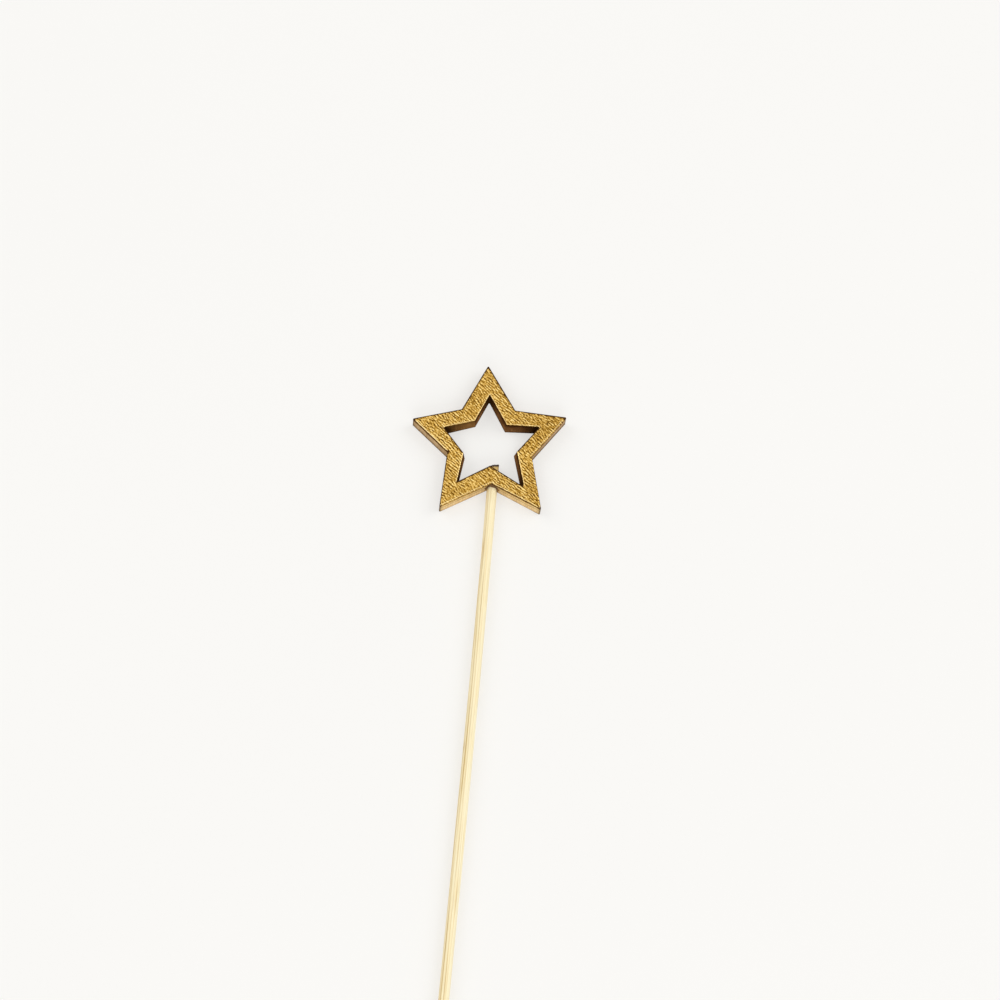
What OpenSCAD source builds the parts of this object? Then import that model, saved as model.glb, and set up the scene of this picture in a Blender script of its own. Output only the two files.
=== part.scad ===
// Star cocktail pick: an open five-pointed star cut from a thin wooden sheet, drilled in its own
// plane at the lower notch, with a sharpened bamboo stick glued into the hole.
// It lies flat on the star's back. +Z is the painted front, and +Y runs from the stick's point
// towards the star. The origin is on the back face, below the stick, midway through the drilled wall.

/* [Star] */
// Radius from the star's centre to its outer points, before they are rounded
star_tip_r = 16; // [13:0.1:24]
// Radius from the star's centre to its outer notches
star_notch_r = 8.3; // [7.4:0.1:11]
// Width of the frame, measured square to its edges
frame_w = 2.85; // [2:0.05:3.8]
// Thickness of the sheet
star_t = 3; // [2.5:0.1:5]
// Radius worn onto the five outer points
point_round = 0.3; // [0.1:0.05:0.8]
// Radius that the cutter leaves in every other corner
corner_round = 0.12; // [0.05:0.01:0.4]

/* [Stick] */
// Diameter of the stick
stick_d = 2; // [1.5:0.1:2.5]
// Length of the stick from its blunt end to its point
stick_l = 120; // [80:1:200]
// Length of the sharpened end
sharp_l = 9; // [4:0.5:20]
// Width of the flat left on the very point
sharp_d = 0.4; // [0.2:0.1:1]
// Angle in degrees at which the blunt end is snipped off
end_slant = 18; // [0:1:30]
// Angle in degrees between the stick and the star's own axis
stick_lean = 5.2; // [0:0.1:10]
// Distance from the star's axis to the hole, midway through the drilled wall
hole_shift = 0.45; // [0:0.05:1.2]
// How far the blunt end reaches past the inner notch, into the star's opening
end_poke = 1; // [0.7:0.1:3]

/* [Glue] */
// Thickness of the glue round the stick, inside the hole
glue_film = 0.1; // [0.05:0.01:0.15]
// How far the squeezed-out bead stands off the stick at the hole's mouth
bead_w = 0.3; // [0.2:0.05:0.5]
// How far the bead runs down the stick from the bottom of the notch
bead_l = 1.4; // [1:0.1:3]

/* [Hidden] */
$fn = 64;

star_points = 5;
arc_steps = 5;
// How far a cutting solid runs past what it cuts
cut_over = 1;

// Angles at the outer points and notches, each between an edge and the line to the centre
corner_step = 180 / star_points;
tip_half = atan2(star_notch_r * sin(corner_step), star_tip_r - star_notch_r * cos(corner_step));
notch_half = corner_step + tip_half;

// The opening's corners lie one frame width inside the outer edges
open_tip_r = star_tip_r - frame_w / sin(tip_half);
open_notch_r = star_notch_r - frame_w / sin(notch_half);

// The stick runs through the middle of the sheet and of the drilled wall
wall_mid_r = (star_notch_r + open_notch_r) / 2;
stick_z = star_t / 2;
stick_r = stick_d / 2;
hole_r = stick_r + glue_film;
// The bead stops short of the sheet's two faces
bead_r = min(stick_r + bead_w, stick_z);
// The cutting block for the snipped end covers the whole end, whatever its slant
snip_w = 4 * stick_d;

function turned(p, angle) = [
    p.x * cos(angle) - p.y * sin(angle),
    p.x * sin(angle) + p.y * cos(angle)
];
function unit(v) = v / norm(v);

// A point given from the star's centre, on the star's own axis, as it lies in the pick's frame
function placed(p) = turned([p.x - hole_shift, p.y + wall_mid_r], stick_lean);

notch_y = placed([0, -star_notch_r]).y;
blunt_y = placed([0, -open_notch_r]).y + end_poke;

// Points of an arc of radius r that rounds one corner of an outline
function corner_arc(before, corner, after, r) =
    let (
        u = unit(before - corner),
        v = unit(after - corner),
        half = acos(u * v) / 2,
        centre = corner + unit(u + v) * r / sin(half),
        start = corner + u * r / tan(half) - centre,
        sweep = sign(cross(v, u)) * (180 - 2 * half)
    )
    [for (i = [0 : arc_steps]) centre + turned(start, sweep * i / arc_steps)];

// Sharp corners of a star with one point straight up, points and notches in turn
function star_corners(tip_r, notch_r) = [
    for (k = [0 : 2 * star_points - 1])
        turned([0, k % 2 == 0 ? tip_r : notch_r], k * corner_step)
];

// A star's outline with its points and its notches rounded
function star_outline(tip_r, notch_r, tip_round, notch_round) =
    let (
        corners = star_corners(tip_r, notch_r),
        n = len(corners)
    )
    [
        for (k = [0 : n - 1])
            each corner_arc(
                corners[(k + n - 1) % n],
                corners[k],
                corners[(k + 1) % n],
                k % 2 == 0 ? tip_round : notch_round
            )
    ];

// Puts a shape drawn round the star's centre where the stick's hole meets the origin
module on_star() {
    rotate([0, 0, stick_lean])
        translate([-hole_shift, wall_mid_r, 0])
            children();
}

// Puts a shape that stands on the XY plane along the stick, from a given y towards the point
module along_stick(from_y) {
    translate([0, from_y, stick_z])
        rotate([90, 0, 0])
            children();
}

// The star as it is cut from the sheet, before it is drilled
module star_blank() {
    on_star()
        linear_extrude(star_t)
            difference() {
                polygon(star_outline(star_tip_r, star_notch_r, point_round, corner_round));
                polygon(star_outline(open_tip_r, open_notch_r, corner_round, corner_round));
            }
}

// The drill's path through the wall, from the opening out past the notch
module hole_path() {
    along_stick(blunt_y + cut_over)
        cylinder(h = blunt_y - notch_y + bead_l + cut_over, r = hole_r);
}

// The straight length and the sharpened end, with the blunt end snipped at a slant
module stick_solid() {
    difference() {
        along_stick(blunt_y)
            rotate_extrude()
                polygon([
                    [0, 0],
                    [stick_r, 0],
                    [stick_r, stick_l - sharp_l],
                    [sharp_d / 2, stick_l],
                    [0, stick_l]
                ]);
        translate([stick_r, blunt_y, stick_z])
            rotate([0, 0, end_slant])
                translate([-snip_w / 2, 0, -snip_w / 2])
                    cube(snip_w);
    }
}

module star_frame() {
    color("goldenrod")
        difference() {
            star_blank();
            hole_path();
        }
}

module stick() {
    color("wheat")
        stick_solid();
}

// The film inside the hole and the bead that fills the notch round the stick
module glue() {
    color("sienna")
        difference() {
            union() {
                intersection() {
                    hole_path();
                    star_blank();
                }
                difference() {
                    along_stick(notch_y)
                        cylinder(h = bead_l, r1 = bead_r, r2 = hole_r);
                    star_blank();
                }
            }
            stick_solid();
        }
}

star_frame();
stick();
glue();
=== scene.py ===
import math
import bpy
import numpy as np
from mathutils import Matrix, Vector


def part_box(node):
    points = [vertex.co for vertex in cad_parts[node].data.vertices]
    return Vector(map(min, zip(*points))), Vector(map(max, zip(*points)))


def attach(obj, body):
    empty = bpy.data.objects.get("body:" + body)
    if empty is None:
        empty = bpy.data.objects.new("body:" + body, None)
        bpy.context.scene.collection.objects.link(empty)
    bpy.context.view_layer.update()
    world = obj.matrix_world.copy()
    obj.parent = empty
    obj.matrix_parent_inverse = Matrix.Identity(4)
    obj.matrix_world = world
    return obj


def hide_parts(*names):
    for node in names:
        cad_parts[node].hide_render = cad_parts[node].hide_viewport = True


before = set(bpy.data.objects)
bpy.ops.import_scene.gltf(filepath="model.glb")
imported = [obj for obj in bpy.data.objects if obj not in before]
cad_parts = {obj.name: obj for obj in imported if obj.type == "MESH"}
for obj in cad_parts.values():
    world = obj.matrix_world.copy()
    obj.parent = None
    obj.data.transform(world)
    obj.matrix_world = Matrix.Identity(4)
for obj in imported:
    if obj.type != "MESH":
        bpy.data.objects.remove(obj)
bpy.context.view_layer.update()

mm = 0.001
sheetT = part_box("star_frame")[1].z / mm  # thickness of the star's sheet, in millimetres
axisZ = round(sheetT / 2, 3)  # height of the stick's middle line
creaseAngle = math.radians(50)  # faces that meet at more than this stay sharp
scene = bpy.context.scene
scene.view_settings.view_transform = "Standard"
print("frame loaded:", ", ".join(sorted(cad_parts)))


# Camera, at the photograph's viewing angle. Places are in millimetres, the roll in degrees
viewpoint = {
    "place": (-7.80, -201.37, 529.79),
    "aim": (1.775, -4.018, 1.5),
    "roll": 8.19,
    "lens": 108.0,
    "sensor": 36.0,
}


def setCamera(spec):
    data = bpy.data.cameras.new("camera")
    data.sensor_fit = "HORIZONTAL"
    data.sensor_width = spec["sensor"]
    data.lens = spec["lens"]
    camera = bpy.data.objects.new("camera", data)
    place = Vector(spec["place"])
    look = (Vector(spec["aim"]) - place).to_track_quat("-Z", "Y").to_matrix()
    turned = look @ Matrix.Rotation(math.radians(spec["roll"]), 3, "Z")
    camera.matrix_world = Matrix.Translation(place * mm) @ turned.to_4x4()
    scene.collection.objects.link(camera)
    scene.camera = camera


setCamera(viewpoint)
print("camera set")


# Sockets of a node, by name or number: each takes a value or a link
def feed(tree, node, sockets):
    for name, value in sockets.items():
        if isinstance(value, bpy.types.NodeSocket):
            tree.links.new(value, node.inputs[name])
        else:
            node.inputs[name].default_value = value


def put(tree, kind, sockets=None, **settings):
    made = tree.nodes.new(kind)
    made.location = (220 * (len(tree.nodes) % 8), -260 * (len(tree.nodes) // 8))
    for name, value in settings.items():
        setattr(made, name, value)
    feed(tree, made, sockets or {})
    return made


def attribute(tree, name):
    return put(tree, "ShaderNodeAttribute", attribute_name=name).outputs["Fac"]


def maths(tree, operation, first, second):
    return put(tree, "ShaderNodeMath", {0: first, 1: second}, operation=operation).outputs[0]


def scaled(tree, value, share):
    return maths(tree, "MULTIPLY", value, share)


def mapRange(tree, value, low, high, outLow=0.0, outHigh=1.0):
    return put(tree, "ShaderNodeMapRange", {
        "Value": value, "From Min": low, "From Max": high, "To Min": outLow, "To Max": outHigh,
    }, interpolation_type="SMOOTHSTEP").outputs["Result"]


def noise(tree, vector, scale, detail, roughness=0.5, distortion=0.0):
    grade = {"Scale": scale, "Detail": detail, "Roughness": roughness, "Distortion": distortion}
    return put(tree, "ShaderNodeTexNoise", {"Vector": vector, **grade}).outputs["Fac"]


def cells(tree, vector, output, scale, randomness=1.0):
    sockets = {"Vector": vector, "Scale": scale, "Randomness": randomness}
    return put(tree, "ShaderNodeTexVoronoi", sockets).outputs[output]


def axisOf(tree, vector, axis):
    return put(tree, "ShaderNodeSeparateXYZ", {"Vector": vector}).outputs[axis]


def colourRamp(tree, factor, stops):
    ramp = put(tree, "ShaderNodeValToRGB", {"Fac": factor})
    points = ramp.color_ramp.elements
    while len(points) < len(stops):
        points.new(1.0)
    while len(points) > len(stops):
        points.remove(points[-1])
    for point, (place, colour) in zip(points, stops):
        point.position = place
        point.color = opaque(colour)
    return ramp.outputs["Color"]


# A plain colour gets its alpha here, and a socket stays as it is
def opaque(colour):
    return colour if isinstance(colour, bpy.types.NodeSocket) else (*colour, 1.0)


# A Mix node's colour sockets are its inputs 6 and 7 and its output 2
def mixColour(tree, factor, below, above, blend="MIX"):
    sockets = {0: factor, 6: opaque(below), 7: opaque(above)}
    return put(tree, "ShaderNodeMix", sockets, data_type="RGBA", blend_type=blend).outputs[2]


# Rays that show the surroundings themselves: 1 for the camera's, and for those seen in metal or glass
def seenRay(tree):
    path = put(tree, "ShaderNodeLightPath").outputs
    mirrored = maths(tree, "MAXIMUM", path["Is Glossy Ray"], path["Is Transmission Ray"])
    return maths(tree, "MAXIMUM", path["Is Camera Ray"], mirrored)


# Node group with vector inputs and plain values as outputs
def newGroup(name, inputs, outputs):
    tree = bpy.data.node_groups.new(name, "ShaderNodeTree")
    for socket in inputs:
        tree.interface.new_socket(socket, in_out="INPUT", socket_type="NodeSocketVector")
    for socket in outputs:
        tree.interface.new_socket(socket, in_out="OUTPUT", socket_type="NodeSocketFloat")
    return tree, put(tree, "NodeGroupInput").outputs, put(tree, "NodeGroupOutput")


# Fibre group: noise drawn out along one axis, as grain, with a coarser streak and sparse flecks
def makeFibreGroup():
    tree, given, out = newGroup("fibre", ("Vector", "Stretch"), ("Grain", "Streak", "Fleck"))
    axes = {0: given["Vector"], 1: given["Stretch"]}
    drawn = put(tree, "ShaderNodeVectorMath", axes, operation="MULTIPLY").outputs[0]
    grain = noise(tree, drawn, scale=1.0, detail=3.0, roughness=0.6)
    streak = noise(tree, drawn, scale=0.31, detail=1.5)
    fleck = noise(tree, drawn, scale=0.57, detail=2.0, distortion=0.4)
    feed(tree, out, {
        "Grain": mapRange(tree, grain, low=0.3, high=0.7),
        "Streak": mapRange(tree, streak, low=0.33, high=0.67),
        "Fleck": mapRange(tree, fleck, low=0.68, high=0.76),
    })
    return tree


# Scorch group: brown patches left by the cutter, with fine lines across the sheet's edge
def makeScorchGroup():
    tree, given, out = newGroup("scorch", ("Vector",), ("Patch", "Lines"))
    upright = put(tree, "ShaderNodeMapping", {"Vector": given["Vector"], "Scale": (3600.0, 3600.0, 260.0)})
    patch = noise(tree, given["Vector"], scale=420.0, detail=4.0, roughness=0.6)
    lines = noise(tree, upright.outputs["Vector"], scale=1.0, detail=2.0, roughness=0.55)
    feed(tree, out, {
        "Patch": mapRange(tree, patch, low=0.34, high=0.66),
        "Lines": mapRange(tree, lines, low=0.3, high=0.7),
    })
    return tree


fibreGroup = makeFibreGroup()
scorchGroup = makeScorchGroup()


def fibres(tree, vector, stretch):
    sockets = {"Vector": vector, "Stretch": stretch}
    return put(tree, "ShaderNodeGroup", sockets, node_tree=fibreGroup).outputs


# Material, with its nodes, its shader and the object's own coordinates
def newMaterial(name):
    material = bpy.data.materials.new(name)
    material.use_nodes = True
    tree = material.node_tree
    shader = tree.nodes["Principled BSDF"]
    coords = put(tree, "ShaderNodeTexCoord").outputs["Object"]
    return material, tree, shader, coords


# Bump whose full height is a depth in millimetres
def bumpNormal(tree, height, strength, depth):
    sockets = {"Height": height, "Strength": strength, "Distance": depth * mm}
    return put(tree, "ShaderNodeBump", sockets).outputs["Normal"]


# Gold paint over wood grain. The points carry how deep the grain lies under the paint, with painted shade
# added towards the right; brown from the cutter, with painted shade added along the edges that face away
# from the front; and paint gathered along an edge, with a painted highlight on the edges that face the
# front. Stops go from a ridge of the grain to a pore, the turn is in degrees, and stretch and scales are in
# cells per metre
goldLook = {
    "grainTurn": 39.5,
    "grainStretch": (2200.0, 4600.0, 4600.0),
    "flakeScale": 5000.0,
    "cloudScale": 260.0,
    "poreShare": 0.42,
    "grainShare": 0.26,
    "flakeShare": 0.36,
    "stops": [
        (0.24, (1.00, 0.77, 0.31)),
        (0.39, (0.76, 0.48, 0.125)),
        (0.52, (0.50, 0.287, 0.05)),
        (0.65, (0.25, 0.12, 0.007)),
        (0.80, (0.08, 0.027, 0.0)),
    ],
    "dullColour": (0.36, 0.21, 0.05),
    "dullRange": (0.35, 0.7),
    "dullShare": 0.15,
    "raggedGrain": 0.5,
    "raggedMiddle": 0.75,
    "raggedShare": 0.7,
    # brown of the scorch, which also serves as painted shade along the edges that face away from the front
    "burnAndShadeColour": (0.06, 0.024, 0.006),
    "burnAndShadeRange": (0.3, 0.75),
    # bright colour of the paint bead, which also serves as a painted highlight on the edges that face the
    # front
    "beadColour": (1.0, 0.81, 0.42),
    "beadRange": (0.1, 0.9),
    "beadShare": 0.9,
    "metallic": 0.85,
    "roughness": (0.38, 0.62),
}


def goldPaint(look):
    material, tree, shader, coords = newMaterial("goldPaint")
    turn = (0.0, 0.0, math.radians(look["grainTurn"]))
    turned = put(tree, "ShaderNodeMapping", {"Vector": coords, "Rotation": turn}).outputs["Vector"]
    grain = fibres(tree, turned, look["grainStretch"])["Grain"]
    flake = cells(tree, coords, "Color", look["flakeScale"])
    cloud = noise(tree, coords, look["cloudScale"], detail=3.0)
    glitter = scaled(tree, flake, look["flakeShare"])
    glitter = maths(tree, "ADD", scaled(tree, grain, look["grainShare"]), glitter)
    tone = maths(tree, "ADD", scaled(tree, attribute(tree, "poreAndShade"), look["poreShare"]), glitter)
    paint = colourRamp(tree, tone, look["stops"])
    dull = scaled(tree, mapRange(tree, cloud, *look["dullRange"]), look["dullShare"])
    paint = mixColour(tree, dull, paint, look["dullColour"])
    # the brown ends raggedly, along the grain
    ragged = maths(tree, "ADD", cloud, scaled(tree, grain, look["raggedGrain"]))
    ragged = scaled(tree, maths(tree, "SUBTRACT", ragged, look["raggedMiddle"]), look["raggedShare"])
    # brown from the cutter, with painted shade along the edges that face away from the front
    browned = mapRange(tree, maths(tree, "ADD", attribute(tree, "burnAndShade"), ragged), *look["burnAndShadeRange"])
    paint = mixColour(tree, browned, paint, look["burnAndShadeColour"])
    # paint bead, with a painted highlight on the edges that face the front
    gatheredAndLit = mapRange(tree, attribute(tree, "bead"), *look["beadRange"], outHigh=look["beadShare"])
    paint = mixColour(tree, gatheredAndLit, paint, look["beadColour"])
    feed(tree, shader, {
        "Base Color": paint,
        "Metallic": mapRange(tree, browned, 0.0, 1.0, look["metallic"], 0.0),
        "Roughness": mapRange(tree, tone, 0.0, 1.0, *look["roughness"]),
        "Specular IOR Level": 0.1,
        "IOR": 1.1,
        "Normal": bumpNormal(tree, glitter, strength=0.35, depth=0.02),
    })
    return material


# Cut edges of the sheet, browned by the cutter and darkest along both faces, with painted shadow on the
# wall under the notch. Gold mist covers them where the mark on the points is 1, which is on the walls that
# face the front, as painted light on the lit side. Stops go up the sheet, from its back to its front
cutLook = {
    "wander": 0.08,
    "lineColour": (0.55, 0.45, 0.36),
    "lineShare": 0.45,
    "burnAndShadeColour": (0.04, 0.016, 0.004),
    "burnAndShadeShare": 0.88,
    "roughness": (0.85, 1.0),
}
edgeLooks = {
    "outerEdge": {
        "bareStops": [
            (0.00, (0.06, 0.026, 0.01)),
            (0.18, (0.24, 0.145, 0.075)),
            (0.36, (0.46, 0.315, 0.18)),
            (0.60, (0.64, 0.45, 0.265)),
            (0.78, (0.54, 0.37, 0.205)),
            (0.86, (0.12, 0.05, 0.016)),
            (1.00, (0.06, 0.022, 0.006)),
        ],
        "mistStops": [
            (0.00, (0.42, 0.26, 0.12)),
            (0.10, (0.78, 0.56, 0.29)),
            (0.51, (0.905, 0.67, 0.34)),
            (0.60, (0.41, 0.265, 0.11)),
            (0.69, (0.915, 0.67, 0.31)),
            (0.82, (0.83, 0.595, 0.255)),
            (0.92, (0.40, 0.22, 0.07)),
            (1.00, (0.22, 0.10, 0.025)),
        ],
        "patchColour": (0.28, 0.16, 0.075),
        "patchShare": 0.45,
    },
    "openEdge": {
        "bareStops": [
            (0.00, (0.085, 0.036, 0.013)),
            (0.20, (0.31, 0.15, 0.054)),
            (0.55, (0.22, 0.10, 0.034)),
            (0.85, (0.045, 0.015, 0.004)),
        ],
        "mistStops": [(0.0, (0.42, 0.23, 0.06))],
        "patchColour": (0.06, 0.021, 0.006),
        "patchShare": 0.55,
    },
    "boreWood": {
        "bareStops": [
            (0.1, (0.16, 0.055, 0.02)),
            (0.9, (0.10, 0.03, 0.012)),
        ],
        "mistStops": [(0.0, (0.40, 0.25, 0.10))],
        "patchColour": (0.05, 0.016, 0.006),
        "patchShare": 0.6,
    },
}


def cutEdge(name, look):
    material, tree, shader, coords = newMaterial(name)
    marks = put(tree, "ShaderNodeGroup", {"Vector": coords}, node_tree=scorchGroup).outputs
    level = maths(tree, "DIVIDE", axisOf(tree, coords, "Z"), sheetT * mm)
    wander = scaled(tree, maths(tree, "SUBTRACT", marks["Patch"], 0.5), look["wander"])
    level = maths(tree, "ADD", level, wander)
    wood = colourRamp(tree, level, look["bareStops"])
    wood = mixColour(tree, scaled(tree, marks["Patch"], look["patchShare"]), wood, look["patchColour"])
    # painted light: the walls that face the front take the bright gold mist
    wood = mixColour(tree, attribute(tree, "litMist"), wood, colourRamp(tree, level, look["mistStops"]))
    lined = scaled(tree, marks["Lines"], look["lineShare"])
    wood = mixColour(tree, lined, wood, look["lineColour"], "MULTIPLY")
    # brown from the cutter at the points, with painted shadow on the wall under the notch
    browned = scaled(tree, attribute(tree, "burnAndShade"), look["burnAndShadeShare"])
    wood = mixColour(tree, browned, wood, look["burnAndShadeColour"])
    feed(tree, shader, {
        "Base Color": wood,
        "Roughness": mapRange(tree, marks["Lines"], 0.0, 1.0, *look["roughness"]),
        "Specular IOR Level": 0.1,
        "IOR": 1.06,
        "Normal": bumpNormal(tree, marks["Lines"], strength=0.4, depth=0.03),
    })
    return material


# Bare bamboo: long pale fibres with yellow and brown ones among them. On the points, seam is how deep a
# groove between fibres lies, and snip is brown round the blunt end and at the hole's mouth. Gold mist lies
# on the blunt end, from one place along the stick to another, in millimetres
bambooLook = {
    "fineStretch": (6200.0, 110.0, 6200.0),
    "broadStretch": (2600.0, 42.0, 2600.0),
    "stops": [
        (0.0, (0.96, 0.79, 0.45)),
        (0.3, (1.00, 0.88, 0.57)),
        (1.0, (1.00, 0.925, 0.65)),
    ],
    "yellow": (0.96, 0.76, 0.37),
    "yellowShare": 0.35,
    "pale": (1.00, 0.94, 0.73),
    "paleShare": 0.25,
    "seam": (0.55, 0.34, 0.085),
    "seamShare": 0.8,
    "fleck": (0.40, 0.22, 0.08),
    "fleckShare": 0.45,
    "mist": (0.76, 0.48, 0.12),
    "mistShare": 0.85,
    "mistAlong": (0.6, 1.9),
    "snip": (0.035, 0.014, 0.004),
    "roughness": (0.62, 0.45),
}


def bambooSkin(look):
    material, tree, shader, coords = newMaterial("bambooSkin")
    fine = fibres(tree, coords, look["fineStretch"])
    broad = fibres(tree, coords, look["broadStretch"])
    wood = colourRamp(tree, fine["Grain"], look["stops"])
    wood = mixColour(tree, scaled(tree, broad["Streak"], look["yellowShare"]), wood, look["yellow"])
    wood = mixColour(tree, scaled(tree, broad["Grain"], look["paleShare"]), wood, look["pale"])
    wood = mixColour(tree, scaled(tree, attribute(tree, "seam"), look["seamShare"]), wood, look["seam"])
    wood = mixColour(tree, scaled(tree, fine["Fleck"], look["fleckShare"]), wood, look["fleck"])
    mistFrom, mistTo = look["mistAlong"]
    misted = mapRange(tree, axisOf(tree, coords, "Y"), mistFrom * mm, mistTo * mm)
    wood = mixColour(tree, scaled(tree, misted, look["mistShare"]), wood, look["mist"])
    wood = mixColour(tree, attribute(tree, "snip"), wood, look["snip"])
    feed(tree, shader, {
        "Base Color": wood,
        "Roughness": mapRange(tree, fine["Grain"], 0.0, 1.0, *look["roughness"]),
        "Specular IOR Level": 0.3,
        "Normal": bumpNormal(tree, fine["Grain"], strength=0.35, depth=0.02),
    })
    return material


# Snipped end: fibre bundles cut across, brown from the paint that soaked in
endLook = {
    "dotScale": 5200.0,
    "dotSpread": 0.9,
    "dotRange": (0.15, 0.5),
    "stops": [
        (0.0, (0.03, 0.012, 0.004)),
        (1.0, (0.14, 0.07, 0.022)),
    ],
    "roughness": (0.85, 0.6),
}


def bambooEnd(look):
    material, tree, shader, coords = newMaterial("bambooEnd")
    spots = cells(tree, coords, "Distance", look["dotScale"], look["dotSpread"])
    dots = mapRange(tree, spots, *look["dotRange"])
    feed(tree, shader, {
        "Base Color": colourRamp(tree, dots, look["stops"]),
        "Roughness": mapRange(tree, dots, 0.0, 1.0, *look["roughness"]),
        "Normal": bumpNormal(tree, dots, strength=0.5, depth=0.03),
    })
    return material


# Cured glue: dark amber, glossy, cloudy, with small bubbles
glueLook = {
    "cloudScale": 900.0,
    "cloudRange": (0.3, 0.7),
    "stops": [
        (0.0, (0.09, 0.036, 0.007)),
        (0.5, (0.17, 0.08, 0.016)),
        (1.0, (0.29, 0.15, 0.035)),
    ],
    "bubbleScale": 3000.0,
    "bubbleRange": (0.22, 0.08),
    "bubbleShare": 0.25,
    "bubbleColour": (0.40, 0.22, 0.08),
    "roughness": (0.28, 0.5),
}


def amberGlue(look):
    material, tree, shader, coords = newMaterial("amberGlue")
    cloud = noise(tree, coords, look["cloudScale"], detail=4.0)
    spots = cells(tree, coords, "Distance", look["bubbleScale"])
    bubbles = mapRange(tree, spots, *look["bubbleRange"], outHigh=look["bubbleShare"])
    body = colourRamp(tree, mapRange(tree, cloud, *look["cloudRange"]), look["stops"])
    feed(tree, shader, {
        "Base Color": mixColour(tree, bubbles, body, look["bubbleColour"]),
        "Roughness": mapRange(tree, cloud, *look["cloudRange"], *look["roughness"]),
        "Specular IOR Level": 0.25,
        "Normal": bumpNormal(tree, cloud, strength=0.25, depth=0.05),
    })
    return material


gold = goldPaint(goldLook)
edges = {name: cutEdge(name, {**cutLook, **look}) for name, look in edgeLooks.items()}
skin = bambooSkin(bambooLook)
snipped = bambooEnd(endLook)
glueBody = amberGlue(glueLook)
print("materials made:", len(bpy.data.materials))


# Smooth noise from -1 to 1: random values on a lattice, joined by smooth steps. The lattice gives how many
# values there are each way before they come round again
def waver(p, q, lattice, seed):
    table = np.random.default_rng(seed).uniform(-1, 1, lattice)
    i = np.floor(p).astype(int)
    j = np.floor(q).astype(int)
    f = smooth(p - i, 0, 1)
    g = smooth(q - j, 0, 1)

    def at(a, b):
        return table[a % lattice[0], b % lattice[1]]

    near = at(i, j) * (1 - f) + at(i + 1, j) * f
    far = at(i, j + 1) * (1 - f) + at(i + 1, j + 1) * f
    return near * (1 - g) + far * g


# From 0 at low to 1 at high, level at both ends
def smooth(value, low, high):
    part = np.clip((value - low) / (high - low), 0, 1)
    return part * part * (3 - 2 * part)


# 1 at no distance, falling off on both sides as a bell curve
def bell(distance, width):
    return np.exp(-((distance / width) ** 2))


# Angle from one place round the stick to another, from -180 to 180 degrees
def angleBetween(angle, place):
    return (angle - place + 180) % 360 - 180


# Grid to mesh: points[row, column] in millimetres, each cell a quad, open rows closed by a fan at each end
def gridMesh(name, points, wrapRows=False, wrapColumns=True, capRows=False):
    rows, columns = points.shape[:2]
    index = np.arange(rows * columns).reshape(rows, columns)
    if wrapRows:
        index = np.vstack([index, index[:1]])
    if wrapColumns:
        index = np.hstack([index, index[:, :1]])
    quads = np.stack([index[:-1, :-1], index[1:, :-1], index[1:, 1:], index[:-1, 1:]], -1)
    corners = points.reshape(-1, 3)
    faces = quads.reshape(-1, 4).tolist()
    if capRows:
        first, last = len(corners), len(corners) + 1
        corners = np.vstack([corners, points[0].mean(0), points[-1].mean(0)])
        start, end = index[0], index[-1]
        fan = np.stack([np.full(columns, first), start[:-1], start[1:]], -1)
        tail = np.stack([np.full(columns, last), end[1:], end[:-1]], -1)
        faces += fan.tolist() + tail.tolist()
    return smoothMesh(name, corners * mm, faces)


def smoothMesh(name, points, faces):
    mesh = bpy.data.meshes.new(name)
    mesh.from_pydata(points.tolist(), [], faces)
    mesh.polygons.foreach_set("use_smooth", np.ones(len(mesh.polygons), bool))
    mesh.update()
    return mesh


def addObject(name, mesh, materials):
    made = bpy.data.objects.new(name, mesh)
    for material in materials:
        made.data.materials.append(material)
    scene.collection.objects.link(made)
    return made


# Values from 0 to 1 on the mesh's points, for the materials
def paintPoints(mesh, name, values):
    layer = mesh.attributes.new(name, "FLOAT", "POINT")
    filled = np.zeros(len(mesh.vertices))
    filled[:values.size] = np.clip(values, 0, 1).reshape(-1)
    layer.data.foreach_set("value", filled)
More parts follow.
